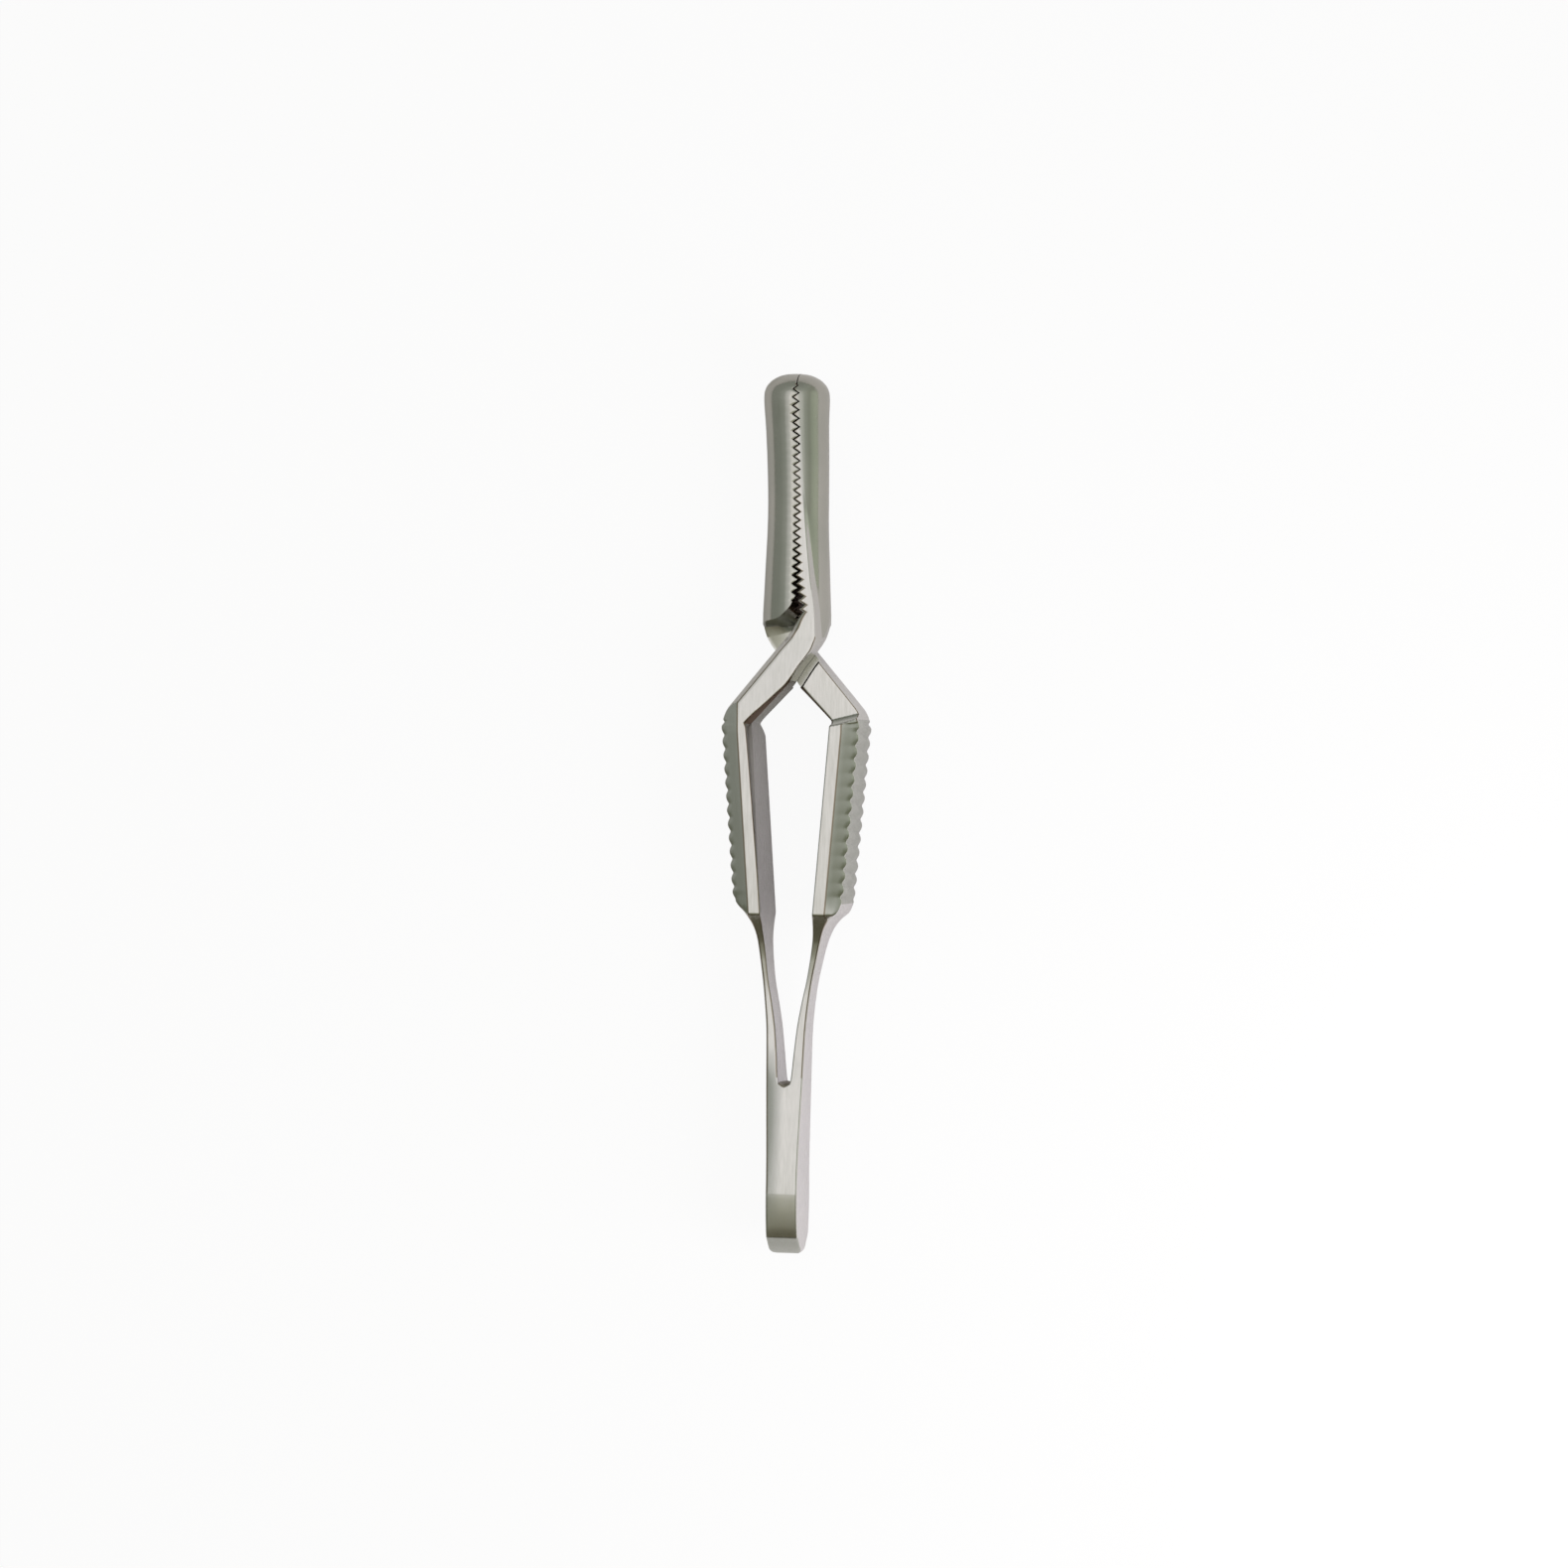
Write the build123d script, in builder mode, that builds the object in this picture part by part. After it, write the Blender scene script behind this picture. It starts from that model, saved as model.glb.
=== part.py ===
from build123d import *
import os

# Cross-action bulldog clamp, millimetres, lying flat on its side.
# X runs across the two arms, Y along the clamp from the tail to the jaw tip, Z up.
# The origin is at the centre of the footprint, on the surface that the clamp lies on.
# Every profile below is drawn on planes whose own Y counts from the tail end and
# whose own Z counts from the clamp's middle plane.

# ---- driving dimensions ----
clamp_length = 60.0
pad_half_depth = 2.8          # the finger pads are the deepest zone, and what the clamp lies on

tail_half_depth = 2.35        # the tail end is rounded to this radius in side view
tail_half_width = 1.10
tail_end_radius = 0.40        # corner radius of the tail end in plan
crotch_y = 11.6               # bottom of the slot between the two springs
crotch_half_depth = 1.80
crotch_half_width = 1.29
slot_half_width = 0.54
tail_straight_end_y = 4.5     # the tail has one width up to here, then widens towards the slot
weld_height = 0.36
weld_half_depth = 1.72
weld_side_gap = 0.03

leaf_waist_y = 18.6
leaf_waist_half_depth = 1.30
leaf_inner_edge = ((-0.75, 15.0), (-1.19, 17.8), (-1.55, 20.5))
leaf_outer_edge = ((-2.20, 21.7), (-1.62, 17.8), (-1.37, 15.0))
leaf_swell = (21.8, 1.68)     # a point, along and deep, where the leaf starts to swell to the pad

pad_foot_y = 23.1
pad_foot_half_depth = 2.62    # the springs swell to this depth where they meet the pads
pad_top_y = 36.1
pad_inner_foot_x = 1.77
pad_inner_top_x = 2.76
pad_outer_foot_x = 2.75
pad_first_ridge_y = 24.7
pad_last_ridge_y = 35.9
pad_first_ridge_x = 3.87
pad_last_ridge_x = 4.79
ridge_count = 13
ridge_height = 0.22
pad_flat_width = 0.85         # flat on each face of a pad, beside the window
pad_slope_drop = 0.50         # how much lower the ridged side's edge lies than that flat

bar_open_half_depth = 0.80    # a crossing bar reaches this far past the middle plane
bar_top_y = 42.0
bar_face_slope_y = 37.0       # where its outer face starts to fall towards the jaws
facet_start_half_depth = 2.42
facet_end_y = 50.5
facet_end_half_depth = 2.02
facet_edge = ((0.90, 8.5), (1.50, 3.0), (1.78, 0.0))    # its edge on the jaw, along from the bar's top
facet_inner_x = -0.6
facet_thickness = 1.6         # more than the facet takes off the round jaw
lap_clearance = 0.10          # between the two laps, half of it cut from each bar
opening_gap = 0.70            # sideways room that the bars cross up as the jaws open
recess_foot = ((0.34, 37.70), (2.60, 37.70))
recess_head = ((-3.50, 42.90), (0.23, 42.65), (2.60, 41.90))    # its slanting end, in the jaw's root

jaw_root_radius = 2.33
jaw_root_y = 43.6
jaw_waist_radius = 2.08
jaw_tip_radius = 2.25
jaw_dome_y = 58.15
jaw_tip_flat = 0.3            # radius of the flat at the very tip
jaw_root_curve = (2.24, 42.85)
jaw_side_curve = ((2.21, 46.5), (jaw_waist_radius, 50.5), (2.15, 56.0))
jaw_dome_curve = ((1.77, 59.45), (1.0, 59.88))
jaw_root_step = ((-0.25, 42.0), (0.15, 42.60))          # the inner corner of the jaw's root
teeth_end_gap = 0.9           # plain length at the tip, past the last tooth
tooth_pitch = 0.575
tooth_height = 0.42
tooth_clearance = 0.06
first_tooth_y = 43.3
mating_x = 0.30               # the jaws meet a little to the right of the middle
mating_relief = 0.38          # the right jaw's face stands back this far at its root
relief_length = 3.7

# ---- planes: the front arm's, and the same turned half a turn about the long axis ----
tail_end = (0, -clamp_length / 2, pad_half_depth)
plan_front = Plane(origin=tail_end, x_dir=(1, 0, 0), z_dir=(0, 0, 1))
plan_rear = Plane(origin=tail_end, x_dir=(-1, 0, 0), z_dir=(0, 0, -1))
side_front = Plane(origin=tail_end, x_dir=(0, 1, 0), z_dir=(1, 0, 0))
side_rear = Plane(origin=tail_end, x_dir=(0, 1, 0), z_dir=(-1, 0, 0))
long_axis = Axis(tail_end, (0, 1, 0))

reach = 8.0                   # longer than any half width or half depth, for cutting tools


def finish(piece, name):
    piece.part.label = name
    export_step(piece.part, f"parts/{name}.step")


# ---- tail: two half blocks, welded along the middle ----
def tail_half(name, plan, side):
    with BuildPart() as half:
        with BuildSketch(plan):
            with BuildLine():
                Polyline(
                    (0, 0),
                    (-tail_half_width + tail_end_radius, 0),
                )
                RadiusArc(
                    (-tail_half_width + tail_end_radius, 0),
                    (-tail_half_width, tail_end_radius),
                    tail_end_radius,
                )
                Polyline(
                    (-tail_half_width, tail_end_radius),
                    (-tail_half_width, tail_straight_end_y),
                    (-crotch_half_width, crotch_y),
                    (0, crotch_y),
                    (0, 0),
                )
            make_face()
        extrude(amount=reach, both=True)
        with BuildSketch(side):
            with BuildLine():
                ThreePointArc(
                    (tail_half_depth, tail_half_depth),
                    (0, 0),
                    (tail_half_depth, -tail_half_depth),
                )
                Polyline(
                    (tail_half_depth, -tail_half_depth),
                    (crotch_y, -crotch_half_depth),
                    (crotch_y, crotch_half_depth),
                    (tail_half_depth, tail_half_depth),
                )
            make_face()
        extrude(amount=reach, both=True, mode=Mode.INTERSECT)
    finish(half, name)


# ---- weld bead closing the bottom of the slot ----
def weld():
    edge = slot_half_width - weld_side_gap
    with BuildPart() as bead:
        with BuildSketch(plan_front):
            with BuildLine():
                Polyline(
                    (-edge, crotch_y + weld_height),
                    (-edge, crotch_y),
                    (edge, crotch_y),
                    (edge, crotch_y + weld_height),
                )
                ThreePointArc(
                    (edge, crotch_y + weld_height),
                    (0, crotch_y + weld_height / 2),
                    (-edge, crotch_y + weld_height),
                )
            make_face()
        extrude(amount=weld_half_depth, both=True)
    finish(bead, "tail_weld")


# ---- spring leaf: the thin flexure between the tail and a finger pad ----
def spring_leaf(name, plan, side):
    with BuildPart() as leaf:
        with BuildSketch(plan):
            with BuildLine():
                Spline(
                    (-slot_half_width, crotch_y),
                    *leaf_inner_edge,
                    (-pad_inner_foot_x, pad_foot_y),
                    tangents=((-0.03, 1), (-0.08, 1)),
                )
                Line((-pad_inner_foot_x, pad_foot_y), (-pad_outer_foot_x, pad_foot_y))
                Spline(
                    (-pad_outer_foot_x, pad_foot_y),
                    *leaf_outer_edge,
                    (-crotch_half_width, crotch_y),
                    tangents=((0.72, -1), (0.02, -1)),
                )
                Line((-crotch_half_width, crotch_y), (-slot_half_width, crotch_y))
            make_face()
        extrude(amount=reach, both=True)
        with BuildSketch(side):
            with BuildLine():
                front = Spline(
                    (crotch_y, crotch_half_depth),
                    (leaf_waist_y, leaf_waist_half_depth),
                    leaf_swell,
                    (pad_foot_y, pad_foot_half_depth),
                    tangents=((1, -0.09), (1, 1.1)),
                )
                mirror(front, about=Plane.XZ)
                Line((crotch_y, -crotch_half_depth), (crotch_y, crotch_half_depth))
                Line((pad_foot_y, -pad_foot_half_depth), (pad_foot_y, pad_foot_half_depth))
            make_face()
        extrude(amount=reach, both=True, mode=Mode.INTERSECT)
    finish(leaf, name)


# ---- finger pad: ridged on its outer side, flat beside the window ----
ridge_run = pad_last_ridge_y - pad_first_ridge_y
ridge_pitch = ridge_run / (ridge_count - 1)
pad_lean = (pad_last_ridge_x - pad_first_ridge_x) / ridge_run


def ridge_point(step, depth):
    """A point beside the given ridge, sunk below the line of the crests by depth."""
    along = step * ridge_pitch
    return (depth - pad_first_ridge_x - along * pad_lean, pad_first_ridge_y + along)


def finger_pad(name, plan):
    with BuildPart() as pad:
        with BuildSketch(plan):
            with BuildLine():
                Polyline(
                    (-pad_inner_foot_x, pad_foot_y),
                    (-pad_inner_top_x, pad_top_y),
                    ridge_point(ridge_count - 0.5, ridge_height),
                )
                for step in reversed(range(ridge_count)):
                    ThreePointArc(
                        ridge_point(step + 0.5, ridge_height),
                        ridge_point(step, 0),
                        ridge_point(step - 0.5, ridge_height),
                    )
                first_valley = ridge_point(-0.5, ridge_height)
                Spline(first_valley, (-pad_outer_foot_x, pad_foot_y), tangents=((0.25, -1), (0.72, -1)))
                Line((-pad_outer_foot_x, pad_foot_y), (-pad_inner_foot_x, pad_foot_y))
            make_face()
        extrude(amount=pad_half_depth, both=True)

        # the sloping sides: a leaning prism that the pad is trimmed to
        slope_start = -pad_inner_foot_x - pad_flat_width
        slope_end = -pad_first_ridge_x
        along_pad = plan.from_local_coords(Vector(-pad_lean, 1, 0)) - plan.origin
        foot = plan.from_local_coords(Vector(0, pad_foot_y - 1, 0))
        section = Plane(origin=foot, x_dir=plan.x_dir, z_dir=along_pad)
        with BuildSketch(section):
            edge = pad_half_depth - pad_slope_drop
            Polygon(
                (0, pad_half_depth),
                (slope_start, pad_half_depth),
                (slope_end, edge),
                (slope_end - 1, edge - 0.1),
                (slope_end - 1, -edge + 0.1),
                (slope_end, -edge),
                (slope_start, -pad_half_depth),
                (0, -pad_half_depth),
                align=None,
            )
        extrude(amount=clamp_length / 2, mode=Mode.INTERSECT)
    finish(pad, name)


# ---- crossing bar: from the top of a finger pad, past the other bar, to the opposite jaw ----
bar_inner_edge = (
    (-pad_inner_top_x, pad_top_y),
    (-0.80, 38.15),
    (-0.26, 38.75),
    (0.14, 39.30),
    (0.60, 39.95),
    (0.99, 40.45),
    (1.42, 41.00),
    (1.79, 41.50),
    (2.07, bar_top_y),
)
bar_outer_edge = (
    (-0.28, bar_top_y),
    (-1.06, 41.10),
    (-3.84, 37.70),
    (-4.44, 36.95),
)


def lap_recess(plan):
    """Clears the room that the other bar crosses in, and that it needs when the jaws open."""
    shoulder = [(-x - opening_gap, y) for x, y in bar_inner_edge[1:]]
    with BuildPart() as recess:
        with BuildSketch(plan.offset(lap_clearance / 2)):
            Polygon(
                recess_foot[0],
                *shoulder,
                *recess_head,
                recess_foot[1],
                align=None,
            )
        extrude(amount=-reach)
    return recess.part


def crossbar(name, plan, side):
    recess = lap_recess(plan)
    with BuildPart() as bar:
        with BuildSketch(plan):
            Polygon(
                *bar_inner_edge,
                *bar_outer_edge,
                ridge_point(ridge_count - 0.5, ridge_height),
                align=None,
            )
        extrude(amount=reach, both=True)
        with BuildSketch(side):
            Polygon(
                (pad_top_y - 1, -bar_open_half_depth),
                (bar_top_y, -bar_open_half_depth),
                (bar_top_y, facet_start_half_depth),
                (bar_face_slope_y, pad_half_depth),
                (pad_top_y - 1, pad_half_depth),
                align=None,
            )
        extrude(amount=reach, both=True, mode=Mode.INTERSECT)
        add(recess, mode=Mode.SUBTRACT)
    finish(bar, name)


# ---- jaw: half of a round bar, toothed along the line where the two meet ----
def jaw(name, plan, mating, relief):
    """mating is the x of the toothed face, relief how far its root end stands back."""

    def tooth_point(half_steps):
        y = first_tooth_y + half_steps * tooth_pitch / 2
        lift = tooth_height / 2 * (-1 if half_steps % 2 else 1)
        root = max(0, 1 - (y - first_tooth_y) / relief_length)
        if mating < 0:
            lift = -lift
        return (mating + tooth_clearance / 2 + lift + relief * root**2, y)

    half_steps = int((clamp_length - teeth_end_gap - first_tooth_y) / tooth_pitch * 2)
    teeth = [tooth_point(step) for step in range(half_steps + 1)]
    face_x = mating + tooth_clearance / 2
    root_end = plan.from_local_coords(Vector(0, bar_top_y, 0))
    recess = lap_recess(plan)
    with BuildPart() as round_jaw:
        with BuildSketch(plan):
            with BuildLine():
                Polyline((0, clamp_length), (0, bar_top_y), bar_inner_edge[-1])
                Spline(
                    bar_inner_edge[-1],
                    jaw_root_curve,
                    (jaw_root_radius, jaw_root_y),
                    *jaw_side_curve,
                    (jaw_tip_radius, jaw_dome_y),
                    tangents=((0.5, 1), (0, 1)),
                )
                Spline(
                    (jaw_tip_radius, jaw_dome_y),
                    *jaw_dome_curve,
                    (jaw_tip_flat, clamp_length),
                    tangents=((0, 1), (-1, 0)),
                )
                Line((jaw_tip_flat, clamp_length), (0, clamp_length))
            make_face()
        revolve(axis=long_axis)
        facet = facet_plane(plan)
        with BuildSketch(facet):
            Polygon(
                (facet_inner_x, 0),
                (facet_inner_x, facet_end_y - bar_top_y),
                *facet_edge,
                align=None,
            )
        extrude(amount=-facet_thickness)
        split(bisect_by=Plane(origin=root_end, z_dir=(0, 1, 0)), keep=Keep.TOP)
        with BuildSketch(plan):
            Polygon(
                *jaw_root_step,
                (teeth[0][0], first_tooth_y - tooth_height / 2),
                *teeth,
                (face_x, clamp_length - teeth_end_gap / 2),
                (face_x, clamp_length + 1),
                (-reach, clamp_length + 1),
                (-reach, bar_top_y),
                align=None,
            )
        extrude(amount=reach, both=True, mode=Mode.SUBTRACT)
        add(recess, mode=Mode.SUBTRACT)
    finish(round_jaw, name)


def facet_plane(plan):
    """The outer face of a crossing bar, carried on up its jaw until the round jaw meets it."""
    fall = (facet_start_half_depth - facet_end_half_depth) / (facet_end_y - bar_top_y)
    root = plan.from_local_coords(Vector(0, bar_top_y, facet_start_half_depth))
    outward = plan.from_local_coords(Vector(0, fall, 1)) - plan.origin
    return Plane(origin=root, x_dir=plan.x_dir, z_dir=outward)


os.makedirs("parts", exist_ok=True)
tail_half("left_tail_half", plan_front, side_front)
tail_half("right_tail_half", plan_rear, side_rear)
weld()
spring_leaf("left_spring_leaf", plan_front, side_front)
spring_leaf("right_spring_leaf", plan_rear, side_rear)
finger_pad("left_finger_pad", plan_front)
finger_pad("right_finger_pad", plan_rear)
crossbar("front_crossbar", plan_front, side_front)
crossbar("rear_crossbar", plan_rear, side_rear)
jaw("right_jaw", plan_front, mating_x, mating_relief)
jaw("left_jaw", plan_rear, -mating_x, 0)
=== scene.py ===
import math

import bpy
import numpy as np
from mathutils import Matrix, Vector


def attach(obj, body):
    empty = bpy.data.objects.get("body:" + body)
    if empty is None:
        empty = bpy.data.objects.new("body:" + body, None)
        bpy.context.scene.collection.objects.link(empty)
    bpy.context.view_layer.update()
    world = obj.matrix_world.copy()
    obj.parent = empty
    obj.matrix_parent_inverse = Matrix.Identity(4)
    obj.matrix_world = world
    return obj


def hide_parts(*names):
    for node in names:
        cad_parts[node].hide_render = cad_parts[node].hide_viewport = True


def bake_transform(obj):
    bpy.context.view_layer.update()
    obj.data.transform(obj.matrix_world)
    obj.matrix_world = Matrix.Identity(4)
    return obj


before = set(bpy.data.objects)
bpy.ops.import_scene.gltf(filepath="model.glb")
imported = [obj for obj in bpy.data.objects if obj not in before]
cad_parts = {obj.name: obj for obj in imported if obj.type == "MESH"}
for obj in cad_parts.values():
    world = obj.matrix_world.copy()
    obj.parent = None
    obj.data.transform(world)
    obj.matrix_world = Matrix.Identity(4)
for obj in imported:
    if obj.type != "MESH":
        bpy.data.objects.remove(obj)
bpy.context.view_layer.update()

# Lengths up to the materials are millimetres in an arm's own coordinates:
# x across, y from the tail end, z up from the middle plane.
# The front arm has its grip at -x, its jaw at +x and its outer face at +z.
# The rear arm is the same shape turned half a turn about the long axis.
MM = 0.001
TAIL_TO_ORIGIN = 30.0
MID_PLANE = 2.8

# where one zone of an arm ends and the next begins
END_BEVEL = 1.25
TAIL_CREASE = 4.2
LEAF_START = 11.5
SLOT_BOTTOM = 11.6
PAD_FOOT = 23.1
JAW_ROOT = 42.0
JAW_ROUND_START = 43.6
DOME_START = 58.15
LENGTH = 60.0
PAD_HALF_DEPTH = 2.80


def smooth(*points):
    """A monotone cubic through (y, value) pairs."""
    ys, vs = np.array(points, float).T
    step = np.diff(ys)
    slope = np.diff(vs) / step
    tangent = np.concatenate(([slope[0]], np.zeros(len(ys) - 2), [slope[-1]]))
    same = slope[:-1] * slope[1:] > 0
    mean = 2 * slope[:-1] * slope[1:] / np.where(same, slope[:-1] + slope[1:], 1)
    tangent[1:-1] = np.where(same, mean, 0)

    def at(y):
        k = int(np.clip(np.searchsorted(ys, y) - 1, 0, len(step) - 1))
        t = min(max((y - ys[k]) / step[k], 0), 1)
        return (
            vs[k] * (2 * t**3 - 3 * t**2 + 1)
            + vs[k + 1] * (3 * t**2 - 2 * t**3)
            + step[k] * (tangent[k] * (t**3 - 2 * t**2 + t) + tangent[k + 1] * (t**3 - t**2))
        )

    return at


def straight(*points):
    """Straight lines through (y, value) pairs."""
    ys, vs = np.array(points, float).T
    return lambda y: float(np.interp(y, ys, vs))


def joined(*runs):
    """(start y, function) pairs, each holding until the next one starts."""

    def at(y):
        for start, value in reversed(runs):
            if y >= start:
                return value(y)
        return runs[0][1](y)

    return at


def ease(y, start, end):
    """Rises softly from 0 at start to 1 at end."""
    t = min(max((y - start) / (end - start), 0), 1)
    return t * t * (3 - 2 * t)


# ---- outline of one arm in plan, and its depth ----
RIDGES = 13
FIRST_RIDGE, LAST_RIDGE = 24.7, 35.9
RIDGE_PITCH = (LAST_RIDGE - FIRST_RIDGE) / (RIDGES - 1)
RIDGE_DEPTH = 0.21

inner_x = joined(
    (0, straight((0, 0.0), (11.42, 0.0), (11.48, -0.36), (11.6, -0.40))),
    (SLOT_BOTTOM, smooth((11.6, -0.40), (12.1, -0.46), (13.7, -0.58), (15.3, -0.73), (17.0, -0.99),
                         (18.6, -1.30), (20.5, -1.56), (21.8, -1.70), (23.1, -1.77))),
    (PAD_FOOT, straight((23.1, -1.77), (36.1, -2.76), (38.15, -0.76), (38.5, -0.40))),
    (38.5, smooth((38.5, -0.40), (38.8, -0.14), (39.3, 0.18), (39.95, 0.60), (40.45, 0.99),
                  (41.0, 1.42), (41.5, 1.79), (42.0, 2.07), (42.85, 2.27), (43.6, 2.33))),
)


def outer_x_with_foot(low):
    """The ridged side's outline; low is how much nearer the tail its foot is."""
    return joined(
        (0, lambda y: -0.70 - math.sqrt(max(0.16 - (0.4 - y) ** 2, 0))),
        (0.4, smooth((0.4, -1.10), (4.5, -1.10), (11.6, -1.29), (15.0, -1.37), (17.8, -1.62),
                     (20.5 - low / 2, -2.02), (21.7 - low, -2.22), (22.5 - low, -2.46), (23.2 - low, -2.86),
                     (23.8 - low, -3.46), (24.3 - low / 2, -3.76), (24.7, -3.87))),
        (24.7, straight((24.7, -3.87), (35.9, -4.79))),
        (35.9, smooth((35.9, -4.79), (36.37, -4.66), (36.95, -4.41), (37.7, -3.84))),
        (37.7, straight((37.7, -3.84), (41.1, -1.06), (42.0, -0.28))),
    )


outer_x_front, outer_x_rear = outer_x_with_foot(0.0), outer_x_with_foot(0.45)
flat_x = straight((23.1, -2.62), (35.5, -3.58), (37.46, -3.60), (40.46, -1.12), (41.1, -0.62), (42.0, 0.18))
half_depth = joined(
    (0, smooth((0, 0.0), (0.06, 0.36), (0.2, 0.66), (0.5, 1.09), (0.98, 1.66), (1.25, 1.98))),
    (END_BEVEL, smooth((1.25, 1.98), (1.6, 2.09), (2.2, 2.21), (3.0, 2.31), (3.7, 2.355), (4.2, 2.37))),
    (TAIL_CREASE, smooth((4.2, 2.37), (6.0, 2.27), (8.0, 2.12), (10.0, 1.93), (11.6, 1.78))),
    (SLOT_BOTTOM, smooth((11.6, 1.78), (15.0, 1.42), (18.0, 1.30), (20.0, 1.38), (21.2, 1.58),
                         (22.1, 1.98), (22.7, 2.40), (23.1, 2.76))),
    (PAD_FOOT, straight((23.1, 2.76), (23.16, 2.80), (37.0, 2.80), (42.0, 2.42))),
)
# how much lower the outer edge of the face beside the ridged side lies than the flat
slope_drop = smooth((0, 0.09), (22.6, 0.09), (24.5, 0.52), (35.8, 0.52), (37.4, 0.34), (42.0, 0.45))
# the bevel between the outer face and the inner side
bevel_width = smooth((0, 0.0), (11.4, 0.0), (12.0, 0.05), (24.5, 0.05), (29.6, 0.12), (35.7, 0.26),
                     (36.3, 0.38), (37.7, 0.22), (38.9, 0.11), (39.5, 0.06), (40.9, 0.08),
                     (41.7, 0.28), (42.0, 0.34))
bevel_drop = smooth((0, 0.0), (11.4, 0.0), (12.0, 0.05), (24.5, 0.06), (29.6, 0.40), (35.7, 0.90),
                    (36.3, 0.90), (37.7, 0.58), (38.9, 0.25), (39.5, 0.08), (40.9, 0.10),
                    (41.7, 0.80), (42.0, 1.24))
# the inner side's other bevel, beside the back
low_bevel = smooth((0, 0.0), (11.4, 0.0), (12.0, 0.05), (35.9, 0.05), (36.6, 0.14), (38.0, 0.20),
                   (39.0, 0.30), (40.0, 0.30), (42.0, 0.05))
jaw_radius = joined(
    (0, smooth((43.6, 2.33), (44.5, 2.29), (46.5, 2.21), (50.5, 2.08), (56.0, 2.15), (58.15, 2.25))),
    (DOME_START, smooth((58.15, 2.25), (58.6, 2.23), (59.0, 2.12), (59.45, 1.78),
                        (59.75, 1.32), (59.92, 0.80), (60.0, 0.0))),
)
# the real clamp isn't quite straight
sideways = smooth((0, -0.04), (12, -0.08), (17, -0.06), (24, 0.09), (36, 0.10), (42, 0.02), (51, 0.0),
                  (54, -0.06), (58, -0.21), (60, -0.24))
# how much lower the tail's faces lie at their sides than along their middle
crown = smooth((0, 0.0), (1.2, 0.0), (2.5, 0.07), (4.5, 0.12), (9.0, 0.20), (11.5, 0.18),
               (13.0, 0.08), (15.0, 0.0), (42.0, 0.0))
CROWN_HALF_WIDTH = 1.2
BAR_BACK = 0.80


def ledge(y, front):
    """Half depth left on an arm's inner side where the pad ends and the bar begins."""
    step = ease(y, 35.2, 36.5) if front else ease(y, 35.9, 36.4)
    return PAD_HALF_DEPTH - (PAD_HALF_DEPTH - BAR_BACK) * step


# ---- the toothed faces ----
TOOTH_PITCH = 0.575
TOOTH_HEIGHT = 0.42
FIRST_TOOTH = 43.3
LAST_TOOTH = 59.1
ROOT_RELIEF = 0.42              # how much further the jaws stand apart at the first tooth
ROOT_RELIEF_LENGTH = 4.2
mating_line = straight((43.0, 0.30), (52.0, 0.29), (60.0, 0.36))
tooth_gap = smooth((43.0, 0.16), (47.0, 0.14), (50.0, 0.09), (53.0, 0.08), (56.0, 0.14),
                   (59.0, 0.10), (60.0, 0.05))


def mating_x(y, front):
    """Where an arm's toothed face is, in its own coordinates."""
    phase = ((y - FIRST_TOOTH) / TOOTH_PITCH) % 1
    wave = 1 - 4 * abs(phase - 0.5)
    lift = TOOTH_HEIGHT / 2 * wave * (1 if FIRST_TOOTH <= y <= LAST_TOOTH else 0)
    relief = ROOT_RELIEF * max(0, 1 - (y - FIRST_TOOTH) / ROOT_RELIEF_LENGTH) ** 2
    if front:
        return mating_line(y) + lift + tooth_gap(y) / 2 + relief
    return -mating_line(y) - lift + tooth_gap(y) / 2


# ---- closed sections, every one with the same number of points ----
N_FLAT, N_BEVEL, N_ROUND, N_WALL, N_BACK, N_SLOPE, N_SIDE = 12, 4, 14, 4, 26, 5, 22
N_LOW_BEVEL = 3                 # the first points of the back, on the lower bevel
CORNER = 0.055
CORNER_ROUNDING = 0.58
SLOPE_STRIP = 0.09              # the sloping face is at least this wide


def run(a, b, n):
    """n points from a towards b, without b, with one close to each end for the corners to be rounded by."""
    a, b = np.array(a, float), np.array(b, float)
    near = min(CORNER / max(np.linalg.norm(b - a), 1e-6), 0.33)
    t = np.concatenate(([0], np.linspace(near, 1 - near, n - 1)))[:, None]
    return a * (1 - t) + b * t


def rounded(section, corners):
    """Moves the corner points in, so that a corner becomes a small radius."""
    result = section.copy()
    for i in corners:
        middle = (section[i - 1] + section[(i + 1) % len(section)]) / 2
        result[i] = section[i] * (1 - CORNER_ROUNDING) + middle * CORNER_ROUNDING
    return result


def ridge_depth(y, z):
    """How far the ridged side lies below the line of the crests."""
    begun = ease(y, FIRST_RIDGE - 0.75, FIRST_RIDGE - 0.35)
    inside = begun * (1 - ease(y, LAST_RIDGE + 0.2, LAST_RIDGE + 0.5))
    lean = 0.28 * z / 2.3 + 0.10 * math.sin(2.2 * z)
    step = (y - FIRST_RIDGE) / RIDGE_PITCH + lean
    groove = 1 - math.sqrt(math.cos(math.pi * step) ** 2 + 0.02)
    saddle = math.exp(-(((z - 0.2) / 0.6) ** 2))
    return max(RIDGE_DEPTH * inside * (groove * (1 - 0.25 * saddle) + 0.22 * saddle), 0)


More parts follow.
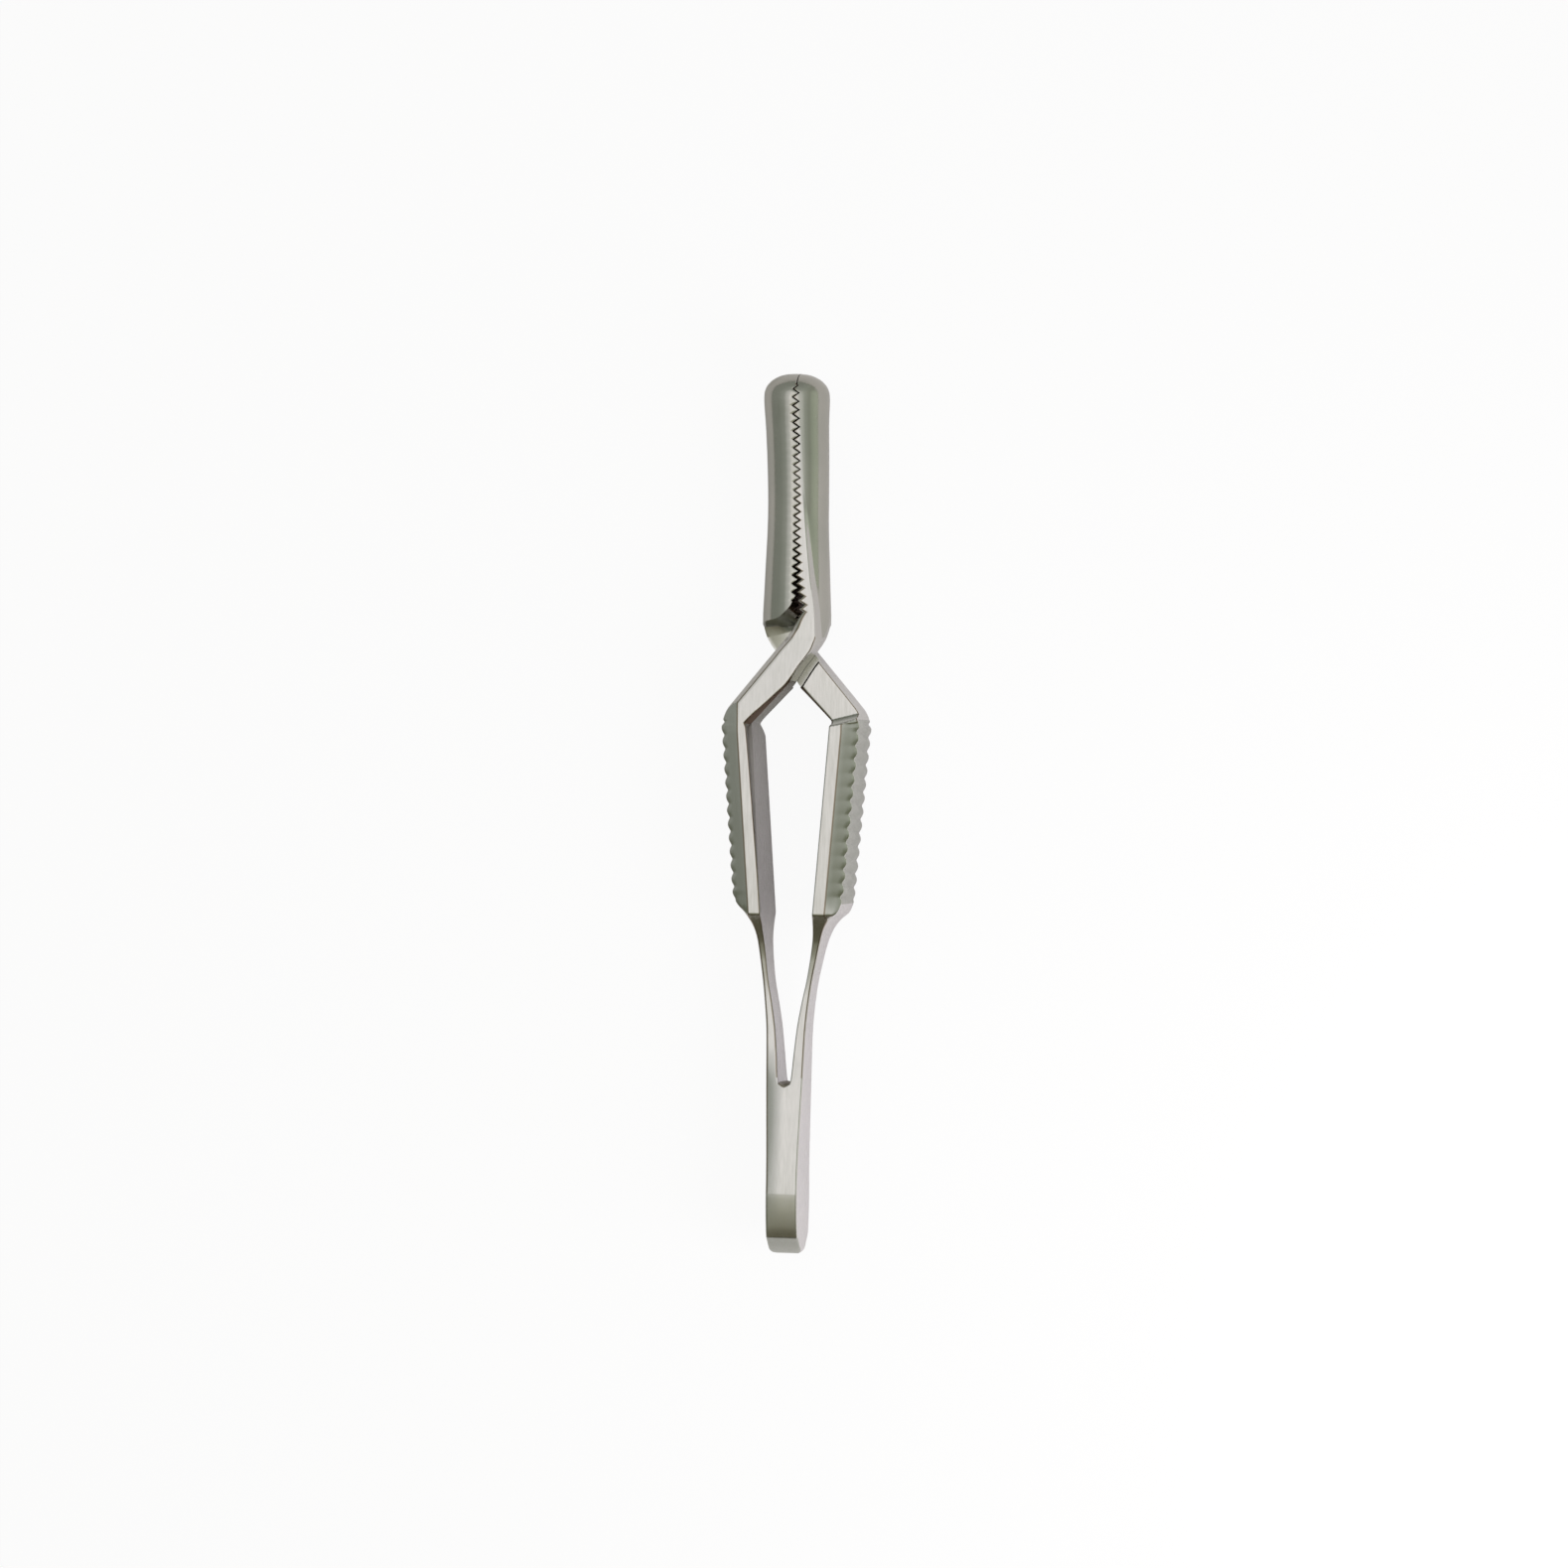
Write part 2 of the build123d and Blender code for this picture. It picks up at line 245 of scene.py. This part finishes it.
def arm_section(y, front):
    """The outline across an arm at y, from the tail to the root of the jaw, as (x, z) points."""
    xo, xi, zf = (outer_x_front if front else outer_x_rear)(y), inner_x(y), half_depth(y)
    if y >= PAD_FOOT:
        xf = max(flat_x(y), xo + SLOPE_STRIP)
    else:
        xf = xo + SLOPE_STRIP + (flat_x(y) - xo - SLOPE_STRIP) * ease(y, PAD_FOOT - 0.4, PAD_FOOT)
    drop = min(slope_drop(y), zf * 0.5)
    bw, bd = bevel_width(y), min(bevel_drop(y), zf * 0.5)
    lb = low_bevel(y)
    zb = min(zf, ledge(y, front))
    flat = run((xf, zf), (xi - bw, zf), N_FLAT)
    low = crown(y) * (xf / CROWN_HALF_WIDTH) ** 2
    for p in flat:
        p[1] -= crown(y) * (p[0] / CROWN_HALF_WIDTH) ** 2
    bevel = run((xi - bw, flat[-1, 1] if y > LEAF_START else zf), (xi, zf - bd), N_BEVEL)
    round_ = run((xi, zf - bd), (xi, (zf - bd) * 0.2), N_ROUND)
    wall = run((xi, (zf - bd) * 0.2), (xi, -zb + lb), N_WALL)

    def back_at(x):
        sloped = zf - drop * min(max((xf - x) / (xf - xo), 0), 1)
        return min(sloped, ledge(y - 0.20 * (xi - x), front))

    cut = min(max((zf - back_at(xf)) / drop, 0), 1)
    xb = xf + (xo + 0.05 - xf) * cut
    back = np.concatenate([
        run((xi, -zb + lb), (xi - lb, -zb), N_LOW_BEVEL),
        run((xi - lb, -zb), (xb, -zb), N_BACK - N_LOW_BEVEL),
    ])
    for p in back[N_LOW_BEVEL:]:
        p[1] = -back_at(p[0])
    side_low = -max(min(zf - drop, back_at(xo) - 0.05), 0.05)
    # the ridges run out on the sloping sides, which stay flat
    dip_low, dip_top = ridge_depth(y, -2.3) * (1 - cut), ridge_depth(y, 2.3)
    fall = drop / max(xf - xo, SLOPE_STRIP)
    slope_back = run((xb, -back_at(xb)), (xo + dip_low, side_low - dip_low * fall), N_SLOPE)
    side = run((xo, side_low - dip_low * fall), (xo, zf - drop - low + dip_top * fall), N_SIDE)
    for p in side:
        p[0] += ridge_depth(y, p[1])
    side[0, 0], top = xo + dip_low, (xo + dip_top, zf - drop - low + dip_top * fall)
    slope_front = run(top, (xf, zf - low), N_SLOPE)
    section = np.concatenate([flat, bevel, round_, wall, back, slope_back, side, slope_front])
    wall_points = N_ROUND + N_WALL
    sizes = np.cumsum([N_FLAT, N_BEVEL, wall_points, N_LOW_BEVEL, N_BACK - N_LOW_BEVEL, N_SLOPE, N_SIDE])
    # in the tail the two arms lie against each other, and the corners there stay sharp
    corners = [0, *sizes] if y > LEAF_START else [0, *sizes[4:]]
    return rounded(section, corners)


# the bar's flat runs on over the jaw as a narrowing facet with a step beside it
facet_edge = smooth((42.0, 1.72), (43.8, 1.62), (45.7, 1.32), (48.0, 1.04), (50.3, 0.80),
                    (53.0, 0.55), (60.0, 0.4))
step_edge = smooth((42.0, 1.98), (43.8, 1.83), (45.7, 1.54), (48.0, 1.25), (50.3, 0.98),
                   (53.0, 0.65), (60.0, 0.5))
facet_depth = straight((42.0, 2.42), (50.5, 2.02), (54.0, 1.95))
mating_round = smooth((42.0, 0.46), (43.2, 0.34), (45.0, 0.26), (47.5, 0.10), (49.0, 0.03), (60.0, 0.02))
root_edge = straight((42.0, -0.28), (42.6, 0.15), (43.2, 0.45), (43.6, 0.70))
FACET_FADE = (49.0, 53.5)


def jaw_section(y, front):
    """The outline across a jaw at y, with its points in the same order as arm_section's."""
    r = max(jaw_radius(y), 0.001)
    m = mating_x(y, front)
    if y < JAW_ROUND_START:
        m = min(m, root_edge(y)) if front else max(m, -0.28 - 0.6 * ease(y, JAW_ROOT, 42.3))
    m = min(m, 0.999 * r)
    w = math.sqrt(max(r * r - inner_x(y) ** 2, 0)) if y < 43.5 else 0.01 * r
    fade = ease(y, *FACET_FADE)

    def circle(x):
        return math.sqrt(max(r * r - x * x, 0))

    zf = facet_depth(y)
    xf = max(min(facet_edge(y), 0.8 * r), m)
    xs = max(min(step_edge(y), 0.85 * r), m)
    mr = min(mating_round(y), 0.8 * (xf - m)) if xf > m else 0
    xa = m + mr
    flat = run((xa, zf), (xf, zf), N_FLAT)
    for p in flat:
        p[1] = zf * (1 - fade) + circle(p[0]) * fade
    edge_z = zf * (1 - fade) + circle(xf) * fade
    start = math.asin(min(circle(xs) / r, 1))
    end = math.asin(min(w / r, 1))
    bevel = run((xf, edge_z), (xs, circle(xs)), N_BEVEL)
    turn = start + (end - start) * np.arange(N_ROUND) / N_ROUND
    wall_x = r * math.cos(end)
    round_ = np.stack([r * np.cos(turn), r * np.sin(turn)], 1)
    wall = run((wall_x, w), (wall_x, -w), N_WALL)
    low = math.asin(max(min(m / r, 1), -1))
    back_turn = -end + (-(math.pi / 2 - low) + end) * np.arange(N_BACK) / N_BACK
    back = np.stack([r * np.cos(back_turn), r * np.sin(back_turn)], 1)
    zc = circle(m)
    top = (zf - mr * 0.9) * (1 - fade) + circle(m) * fade
    slope_back = run((m, -zc), (m, -0.8 * zc), N_SLOPE)
    side = run((m, -0.8 * zc), (m, top), N_SIDE)
    start_z = zf * (1 - fade) + circle(xa) * fade
    turn = np.arange(N_SLOPE) / N_SLOPE * math.pi / 2
    ramp = np.stack([m + mr * turn / (math.pi / 2), top + (start_z - top) * turn / (math.pi / 2)], 1)
    arc = np.stack([m + mr * (1 - np.cos(turn)), top + (start_z - top) * np.sin(turn)], 1)
    slope_front = ramp + (arc - ramp) * ease(y, JAW_ROOT, 43.2)
    section = np.concatenate([flat, bevel, round_, wall, back, slope_back, side, slope_front])
    return rounded(section, [N_FLAT, N_FLAT + N_BEVEL, N_FLAT + N_BEVEL + N_ROUND + N_WALL + N_BACK])


def stations():
    """Where along an arm its sections are: closest together where its shape turns."""
    tail = [END_BEVEL * (1 - math.cos(t)) for t in np.linspace(0.03, math.pi / 2, 16)]
    tail += [1.27, 1.6, 2.0, 2.6, 3.2, 3.8, 4.18, 4.22, 5, 6, 7, 8, 9, 10, 11, 11.3, 11.36]
    leaf = list(np.arange(11.45, 23.05, 0.15)) + [23.05, 23.09, 23.12, 23.17]
    pad = list(np.arange(23.25, 35.9, RIDGE_PITCH / 10))
    top = list(np.arange(35.9, 37.0, 0.05)) + list(np.arange(37.0, 41.95, 0.1))
    root = list(np.arange(JAW_ROOT, FIRST_TOOTH, 0.06))
    teeth = list(np.arange(FIRST_TOOTH, 58.7, TOOTH_PITCH / 6))
    dome = [LENGTH - 1.3 * (1 - math.sin(t)) for t in np.linspace(0, 1.45, 22)]
    return tail + leaf + pad + top + root + teeth + [d for d in dome if d > teeth[-1] + 0.02]


BACK_START = N_FLAT + N_BEVEL + N_ROUND + N_WALL
SLOPE_START = BACK_START + N_BACK
SIDE_START = SLOPE_START + N_SLOPE
SIDE_END = SIDE_START + N_SIDE
POINTS = SIDE_END + N_SLOPE
FACE_EDGES = (POINTS - 1, 0)
FLAT_EDGES = (*FACE_EDGES, N_FLAT - 1, N_FLAT, BACK_START - 1, BACK_START, SLOPE_START - 1, SLOPE_START)
SATIN, PAINTED_BROWN_SHADE, PAINTED_EDGE_SHADE, RIDGED, JAW, PAINTED_LIT_SIDE = range(6)
POLISHED_TIP = 56.0


def finish_at(y, j):
    """Which finish the face that starts at y and at point j of its section has."""
    bevel = N_FLAT <= j < N_FLAT + N_BEVEL
    wall = N_FLAT + N_BEVEL <= j < BACK_START
    low_bevel_side = BACK_START - 1 <= j < BACK_START + N_LOW_BEVEL
    outer_side = SIDE_START <= j < SIDE_END
    mating = SLOPE_START <= j < SIDE_END
    slopes_and_flat = j < N_FLAT or j >= SIDE_END or BACK_START <= j < SIDE_START
    # painted shade, dark brown: the inner bevels by the crossing and the toothed faces between the jaws
    if bevel and 36.0 < y < 39.3 or low_bevel_side and 36.3 < y < 39.7 or mating and 43.2 < y < 59.2:
        return PAINTED_BROWN_SHADE
    # painted shade: a dark brown line along the edges of the flats
    if j in FLAT_EDGES and 12.0 < y < JAW_ROOT or j in FACE_EDGES and y > TAIL_CREASE:
        return PAINTED_EDGE_SHADE
    if outer_side and 23.9 < y < 36.4:
        return RIDGED
    if N_FLAT + N_BEVEL <= j < SLOPE_START and y > JAW_ROOT - 0.01 or y > POLISHED_TIP:
        return JAW
    if slopes_and_flat and y < END_BEVEL - 0.03:
        return RIDGED
    # painted light: the sides of the leaves and the tail are a lighter, lilac copy of the steel, for the
    # lit floor they mirror
    if wall and LEAF_START < y < 36.2 or outer_side and y < 23.9:
        return PAINTED_LIT_SIDE
    return SATIN


def ring_faces(rows, count, inward):
    """The faces between closed rings of points, and one over each end."""
    faces = []
    for i in range(rows - 1):
        for j in range(count):
            k = (j + 1) % count
            near, far = i * count, (i + 1) * count
            quad = (near + j, near + k, far + k, far + j)
            faces.append((quad[0], *quad[:0:-1]) if inward else quad)
    first, last = tuple(range(count)), tuple(range((rows - 1) * count, rows * count))
    faces.append(first if inward else first[::-1])
    faces.append(last[::-1] if inward else last)
    return faces


def new_object(name, points, faces):
    mesh = bpy.data.meshes.new(name)
    mesh.from_pydata([tuple(p) for p in points], [], faces)
    mesh.validate()
    piece = bpy.data.objects.new(name, mesh)
    bpy.context.scene.collection.objects.link(piece)
    return piece


def in_frame(x, y, z=0.0):
    """A place in the shared frame, in metres."""
    return (x * MM, (y - TAIL_TO_ORIGIN) * MM, (z + MID_PLANE) * MM)


def placed(points, front):
    """Points of an arm in the shared frame, turned for the rear arm."""
    turn = 1 if front else -1
    return [in_frame(turn * x + sideways(y), y, turn * z) for x, y, z in points]


# ---- the room that an arm's inner side leaves for the other bar, ending in a scoop at the jaw ----
LAP_FLOOR = 0.05
SHOULDER_GAP = 0.68
SHOULDER_CHAMFER = 0.10
CHAMFER_DEPTH = 0.66            # how far below its floor the recess starts to widen
RECESS_SIDE = 2.9
RECESS_FOOT = 37.7
SCOOP_DEPTH = 2.15
# the scoop: x, its place along the clamp at the floor of the recess, and how far on it runs as it deepens
SCOOP = [(-3.4, 43.10, 2.5), (-0.6, 42.98, 2.2), (-0.14, 42.74, 1.52), (0.05, 42.63, 1.28),
         (0.28, 42.52, 1.16), (0.6, 42.40, 1.06), (0.94, 42.30, 0.98), (1.4, 42.17, 1.04),
         (1.8, 42.04, 1.16), (RECESS_SIDE, 41.90, 1.30)]
SHOULDER_YS = (RECESS_FOOT, 38.15, 38.75, 39.3, 39.95, 40.45, 41.0, 41.5, JAW_ROOT)
shoulder = [(-inner_x(y) - SHOULDER_GAP, y) for y in SHOULDER_YS]


def scoop_line(depth):
    """The upper end of the recess at a depth below its floor."""
    t = min(depth / SCOOP_DEPTH, 1.25)
    line = []
    for x, foot, rise in SCOOP:
        # it rises soonest near the jaw's side
        early = min(max((x + 0.2) / 1.6, 0), 1)
        curve = (0.45 + 0.53 * early) * t ** (0.5 - 0.28 * early) + 0.60 * (1 - early) * t**2
        line.append((x, foot + rise * curve))
    return line


def recess(front):
    levels = np.sort(np.concatenate([np.linspace(0, 2.6, 14), [CHAMFER_DEPTH, 1.22, 4.0]]))
    points = []
    for depth in levels:
        wide = SHOULDER_CHAMFER * min(max((depth - CHAMFER_DEPTH) / 0.14, 0), 4)
        loop = [(x - 0.8 * wide, y - 0.6 * wide) for x, y in shoulder]
        loop += scoop_line(depth) + [(RECESS_SIDE, RECESS_FOOT)]
        points += [(x, y, LAP_FLOOR - depth) for x, y in loop]
    return new_object("recess", placed(points, front), ring_faces(len(levels), len(loop), inward=True))


def solid_volume(piece):
    mesh = piece.data
    mesh.calc_loop_triangles()
    v = np.array([p.co for p in mesh.vertices])
    t = np.array([tri.vertices for tri in mesh.loop_triangles])
    return np.einsum("ij,ij->i", v[t[:, 0]], np.cross(v[t[:, 1]], v[t[:, 2]])).sum() / 6


def outward(piece):
    """Turns a closed piece's faces outwards."""
    if solid_volume(piece) < 0:
        piece.data.flip_normals()


def build_arm(name, front):
    ys = stations()
    sections = [arm_section(y, front) if y < JAW_ROOT - 0.01 else jaw_section(y, front) for y in ys]
    points = [(x, y, z) for section, y in zip(sections, ys) for x, z in section]
    arm = new_object(name, placed(points, front), ring_faces(len(ys), POINTS, inward=False))
    for finish in (satin, painted_brown_shade, painted_edge_shade, ridged, polished, painted_lit_side):
        arm.data.materials.append(finish)
    finishes = [finish_at(y, j) for y in ys[:-1] for j in range(POINTS)]
    arm.data.polygons.foreach_set("material_index", [*finishes, SATIN, JAW])
    outward(arm)
    cutter = recess(front)
    outward(cutter)
    cut = arm.modifiers.new("recess", "BOOLEAN")
    cut.operation = "DIFFERENCE"
    cut.solver = "EXACT"
    cut.object = cutter
    bpy.context.view_layer.update()
    result = bpy.data.meshes.new_from_object(arm.evaluated_get(bpy.context.evaluated_depsgraph_get()))
    arm.modifiers.clear()
    arm.data = result
    result.name = name
    bpy.data.objects.remove(cutter)
    arm.data.shade_smooth()
    arm.data.set_sharp_from_angle(angle=math.radians(34))
    return arm


# ---- materials ----
MIX_FACTOR, MIX_A, MIX_B, MIX_RESULT = 0, 6, 7, 2    # a colour Mix node's sockets


def node(tree, kind, **values):
    """A new node, with values for its settings and inputs."""
    made = tree.nodes.new(kind)
    for key, value in values.items():
        if hasattr(made, key):
            setattr(made, key, value)
        else:
            made.inputs[key.replace("_", " ")].default_value = value
    return made


def steel(name, tint=(0.69, 0.675, 0.66), shade=(0.63, 0.625, 0.60), rough=0.20, grain=0.12, pits=0.0):
    """Bare steel: a slow change of tint, fine grain along the clamp, and pits where they are asked for."""
    material = bpy.data.materials.new(name)
    material.use_nodes = True
    tree = material.node_tree
    tree.nodes.clear()
    out = node(tree, "ShaderNodeOutputMaterial")
    bsdf = node(tree, "ShaderNodeBsdfPrincipled")
    bsdf.inputs["Metallic"].default_value = 1.0
    tree.links.new(bsdf.outputs[0], out.inputs[0])
    place = node(tree, "ShaderNodeTexCoord")
    cloud = node(tree, "ShaderNodeTexNoise", Scale=260.0, Detail=3.0)
    tree.links.new(place.outputs["Object"], cloud.inputs["Vector"])
    blend = node(tree, "ShaderNodeMix", data_type="RGBA")
    blend.inputs[MIX_A].default_value = (*tint, 1)
    blend.inputs[MIX_B].default_value = (*shade, 1)
    tree.links.new(cloud.outputs["Fac"], blend.inputs[MIX_FACTOR])
    tree.links.new(blend.outputs[MIX_RESULT], bsdf.inputs["Base Color"])
    stretch = node(tree, "ShaderNodeMapping")
    stretch.inputs["Scale"].default_value = (9000.0, 700.0, 9000.0)
    tree.links.new(place.outputs["Object"], stretch.inputs["Vector"])
    lines = node(tree, "ShaderNodeTexNoise", Scale=1.0, Detail=4.0)
    tree.links.new(stretch.outputs[0], lines.inputs["Vector"])
    roughness = node(tree, "ShaderNodeMapRange")
    roughness.inputs["From Min"].default_value = 0.3
    roughness.inputs["From Max"].default_value = 0.7
    roughness.inputs["To Min"].default_value = rough - 0.04
    roughness.inputs["To Max"].default_value = rough + 0.06
    tree.links.new(lines.outputs["Fac"], roughness.inputs["Value"])
    tree.links.new(roughness.outputs[0], bsdf.inputs["Roughness"])
    bump = node(tree, "ShaderNodeBump")
    bump.inputs["Strength"].default_value = grain
    bump.inputs["Distance"].default_value = 0.000002
    tree.links.new(lines.outputs["Fac"], bump.inputs["Height"])
    tree.links.new(bump.outputs[0], bsdf.inputs["Normal"])
    if pits:
        speck = node(tree, "ShaderNodeTexNoise", Scale=4200.0, Detail=3.0)
        tree.links.new(place.outputs["Object"], speck.inputs["Vector"])
        pit = node(tree, "ShaderNodeBump")
        pit.inputs["Strength"].default_value = pits
        pit.inputs["Distance"].default_value = 0.00006
        tree.links.new(speck.outputs["Fac"], pit.inputs["Height"])
        tree.links.new(bump.outputs[0], pit.inputs["Normal"])
        tree.links.new(pit.outputs[0], bsdf.inputs["Normal"])
    return material


satin = steel("satin_steel_finish")
# a dark brown finish that paints the shade on the inner bevels by the crossing and on the toothed faces
# between the jaws
painted_brown_shade = steel("painted_brown_shade_finish", tint=(0.34, 0.235, 0.175), shade=(0.22, 0.15, 0.105), rough=0.34)
# painted shade: a dark brown line along the edges of the flats, where the rounded edges fall into shade
painted_edge_shade = steel("painted_edge_shade_finish", tint=(0.40, 0.345, 0.28), shade=(0.30, 0.25, 0.20), rough=0.30)
ridged = steel("ridged_side_finish", tint=(0.56, 0.57, 0.535), shade=(0.47, 0.485, 0.45), rough=0.30)
polished = steel("polished_jaw_finish", tint=(0.60, 0.58, 0.545), shade=(0.43, 0.44, 0.40), rough=0.14,
                 grain=0.08)
# painted light: a lighter, lilac copy of the steel for the side faces, standing in for the lit floor they
# mirror
painted_lit_side = steel("painted_lit_side_finish", tint=(0.86, 0.84, 0.86), shade=(0.78, 0.765, 0.785), rough=0.24)

front_arm = build_arm("front_arm_steel", True)
rear_arm = build_arm("rear_arm_steel", False)


# ---- the weld bead at the bottom of the slot ----
# millimetres in the front arm's coordinates
BEAD_HALF_WIDTH = 0.60
BEAD_HALF_DEPTH = 1.74
BEAD_FOOT, BEAD_TOP = 11.2, 11.62


def build_weld():
    """An uneven bead over the end of the slot."""
    across, along = 15, 25
    points = []
    for j in range(along):
        z = -BEAD_HALF_DEPTH + 2 * BEAD_HALF_DEPTH * j / (along - 1)
        for i in range(across):
            u = -1 + 2 * i / (across - 1)
            lump = 0.05 * math.sin(5.1 * z + 2.0 * u) + 0.04 * math.sin(9.7 * z - 5.1 * u + 1.3)
            end = 0.10 * max(0, abs(z) - 1.55) / 0.2
            y = BEAD_TOP + 0.07 * u * u + lump - end
            points.append((BEAD_HALF_WIDTH * u, y, z))
    top = len(points)
    points += [(x, BEAD_FOOT, z) for x, y, z in points]
    faces = []
    for j in range(along - 1):
        for i in range(across - 1):
            a = j * across + i
            quad = (a, a + 1, a + across + 1, a + across)
            faces.append(quad)
            faces.append(tuple(top + k for k in reversed(quad)))
    rim = list(range(across)) + [j * across + across - 1 for j in range(1, along)]
    rim += [(along - 1) * across + i for i in reversed(range(across - 1))]
    rim += [j * across for j in reversed(range(1, along - 1))]
    for a, b in zip(rim, rim[1:] + rim[:1]):
        faces.append((a, top + a, top + b, b))
    bead = new_object("weld_bead_steel", placed(points, True), faces)
    outward(bead)
    bead.data.shade_smooth()
    bead.data.set_sharp_from_angle(angle=math.radians(50))
    return bead


weld = build_weld()
bead_finish = steel("weld_finish", tint=(0.42, 0.39, 0.35), shade=(0.22, 0.19, 0.15), rough=0.36,
                    grain=0.1, pits=1.0)
weld.data.materials.append(bead_finish)
# the CAD nodes are all replaced, and have the same finishes
for name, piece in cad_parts.items():
    piece.data.materials.clear()
    piece.data.materials.append(bead_finish if name == "tail_weld" else satin)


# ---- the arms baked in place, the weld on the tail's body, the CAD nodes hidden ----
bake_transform(front_arm)
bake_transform(rear_arm)
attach(weld, "tail")
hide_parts("left_tail_half", "left_spring_leaf", "left_finger_pad", "front_crossbar", "right_jaw")
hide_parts("right_tail_half", "right_spring_leaf", "right_finger_pad", "rear_crossbar", "left_jaw")
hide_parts("tail_weld")

# ---- floor, light and camera, in metres ----
FLOOR_HALF = 1.5
floor = new_object("floor", [(-FLOOR_HALF, -FLOOR_HALF, 0), (FLOOR_HALF, -FLOOR_HALF, 0),
                             (FLOOR_HALF, FLOOR_HALF, 0), (-FLOOR_HALF, FLOOR_HALF, 0)], [(0, 1, 2, 3)])
paper = bpy.data.materials.new("paper")
paper.use_nodes = True
paper_tree = paper.node_tree
paper_shader = paper_tree.nodes["Principled BSDF"]
paper_shader.inputs["Base Color"].default_value = (0.88, 0.84, 0.885, 1)
paper_shader.inputs["Roughness"].default_value = 0.9
# To camera rays the paper is mostly its own even light, so it is almost white and nearly shadowless.
# The steel mirrors it as it is lit.
bright = node(paper_tree, "ShaderNodeEmission", Strength=1.0)
seen = node(paper_tree, "ShaderNodeLightPath")
amount = node(paper_tree, "ShaderNodeMapRange")
amount.inputs["To Max"].default_value = 0.93
lit = node(paper_tree, "ShaderNodeMixShader")
paper_tree.links.new(seen.outputs["Is Camera Ray"], amount.inputs["Value"])
paper_tree.links.new(amount.outputs[0], lit.inputs[0])
paper_tree.links.new(paper_shader.outputs[0], lit.inputs[1])
paper_tree.links.new(bright.outputs[0], lit.inputs[2])
paper_tree.links.new(lit.outputs[0], paper_tree.nodes["Material Output"].inputs["Surface"])
floor.data.materials.append(paper)

world = bpy.data.worlds.new("room")
bpy.context.scene.world = world
world.use_nodes = True
room = world.node_tree
room.nodes.clear()
sky_out = node(room, "ShaderNodeOutputWorld")
sky = node(room, "ShaderNodeBackground")
room.links.new(sky.outputs[0], sky_out.inputs[0])
sky_place = node(room, "ShaderNodeTexCoord")


def sky_part(direction, stops):
    """A soft change of colour, by how far the sky is turned towards a direction."""
    turned = node(room, "ShaderNodeVectorMath", operation="DOT_PRODUCT")
    turned.inputs[1].default_value = direction
    room.links.new(sky_place.outputs["Generated"], turned.inputs[0])
    ramp = node(room, "ShaderNodeValToRGB")
    ramp.color_ramp.interpolation = "EASE"
    room.links.new(turned.outputs["Value"], ramp.inputs["Fac"])
    for element, (position, colour) in zip(ramp.color_ramp.elements, (stops[0], stops[-1])):
        element.position = position
        element.color = (*colour, 1)
    for position, colour in stops[1:-1]:
        ramp.color_ramp.elements.new(position).color = (*colour, 1)
    return ramp.outputs["Color"]


def times(first, second):
    """Two colours multiplied."""
    mix = node(room, "ShaderNodeMix", data_type="RGBA", blend_type="MULTIPLY")
    mix.inputs[MIX_FACTOR].default_value = 1.0
    room.links.new(first, mix.inputs[MIX_A])
    room.links.new(second, mix.inputs[MIX_B])
    return mix.outputs[MIX_RESULT]


overhead = sky_part((0, 0, 1), [
    (0.0, (0.30, 0.315, 0.28)),
    (0.50, (0.32, 0.34, 0.30)),
    (0.78, (0.40, 0.42, 0.38)),
    (0.93, (0.76, 0.765, 0.74)),
    (0.97, (1.08, 1.06, 1.04)),
    (1.0, (1.10, 1.08, 1.06)),
])
towards_tail = sky_part((0, -1, 0), [
    (0.0, (1, 1, 1)),
    (0.045, (1, 1, 1)),
    (0.11, (0.50, 0.515, 0.43)),
    (0.30, (0.42, 0.42, 0.335)),
    (0.60, (0.33, 0.30, 0.22)),
    (1.0, (0.33, 0.29, 0.21)),
])
to_the_right = sky_part((1, 0, 0), [
    (0.0, (1, 1, 1)),
    (0.25, (1, 1, 1)),
    (0.60, (1.16, 1.17, 1.14)),
    (0.80, (1.10, 1.10, 1.04)),
    (0.90, (1.45, 1.50, 1.38)),
    (1.0, (1.80, 1.85, 1.70)),
])
room.links.new(times(times(overhead, towards_tail), to_the_right), sky.inputs["Color"])
# the sky lights the matt floor more strongly than the steel mirrors it
ray = node(room, "ShaderNodeLightPath")
strength = node(room, "ShaderNodeMapRange")
strength.inputs["To Min"].default_value = 1.0
strength.inputs["To Max"].default_value = 1.35
room.links.new(ray.outputs["Is Diffuse Ray"], strength.inputs["Value"])
room.links.new(strength.outputs[0], sky.inputs["Strength"])


key = bpy.data.lights.new("key_light", "AREA")
key.shape = "RECTANGLE"
key.size, key.size_y = 0.05, 0.08
key.energy = 0.085
key_place = Vector((0.085, -0.045, 0.045))
key_aim = Vector((0, -0.02, 0))
key_light = bpy.data.objects.new("key_light", key)
key_light.location = key_place
key_light.rotation_euler = (key_aim - key_place).to_track_quat("-Z", "Y").to_euler()
key_light.visible_glossy = False
key_light.visible_camera = False
bpy.context.scene.collection.objects.link(key_light)

# The camera looks down on the clamp from a little to its right.
SIDE_ANGLE = math.radians(11.0)
LEAN = math.radians(0.86)
DISTANCE = 0.350
FRAME_HEIGHT = 0.10705
centre = Vector(in_frame(-0.725, 32.0))
lens = bpy.data.cameras.new("camera")
camera = bpy.data.objects.new("camera", lens)
camera.location = centre + DISTANCE * Vector((math.sin(SIDE_ANGLE), 0, math.cos(SIDE_ANGLE)))
camera.rotation_euler = (0, SIDE_ANGLE, 0)
camera.rotation_euler.rotate_axis("Z", LEAN)
lens.angle = 2 * math.atan(FRAME_HEIGHT / 2 / DISTANCE)
lens.clip_start = 0.01
bpy.context.scene.collection.objects.link(camera)
bpy.context.scene.camera = camera
bpy.context.scene.view_settings.view_transform = "Standard"
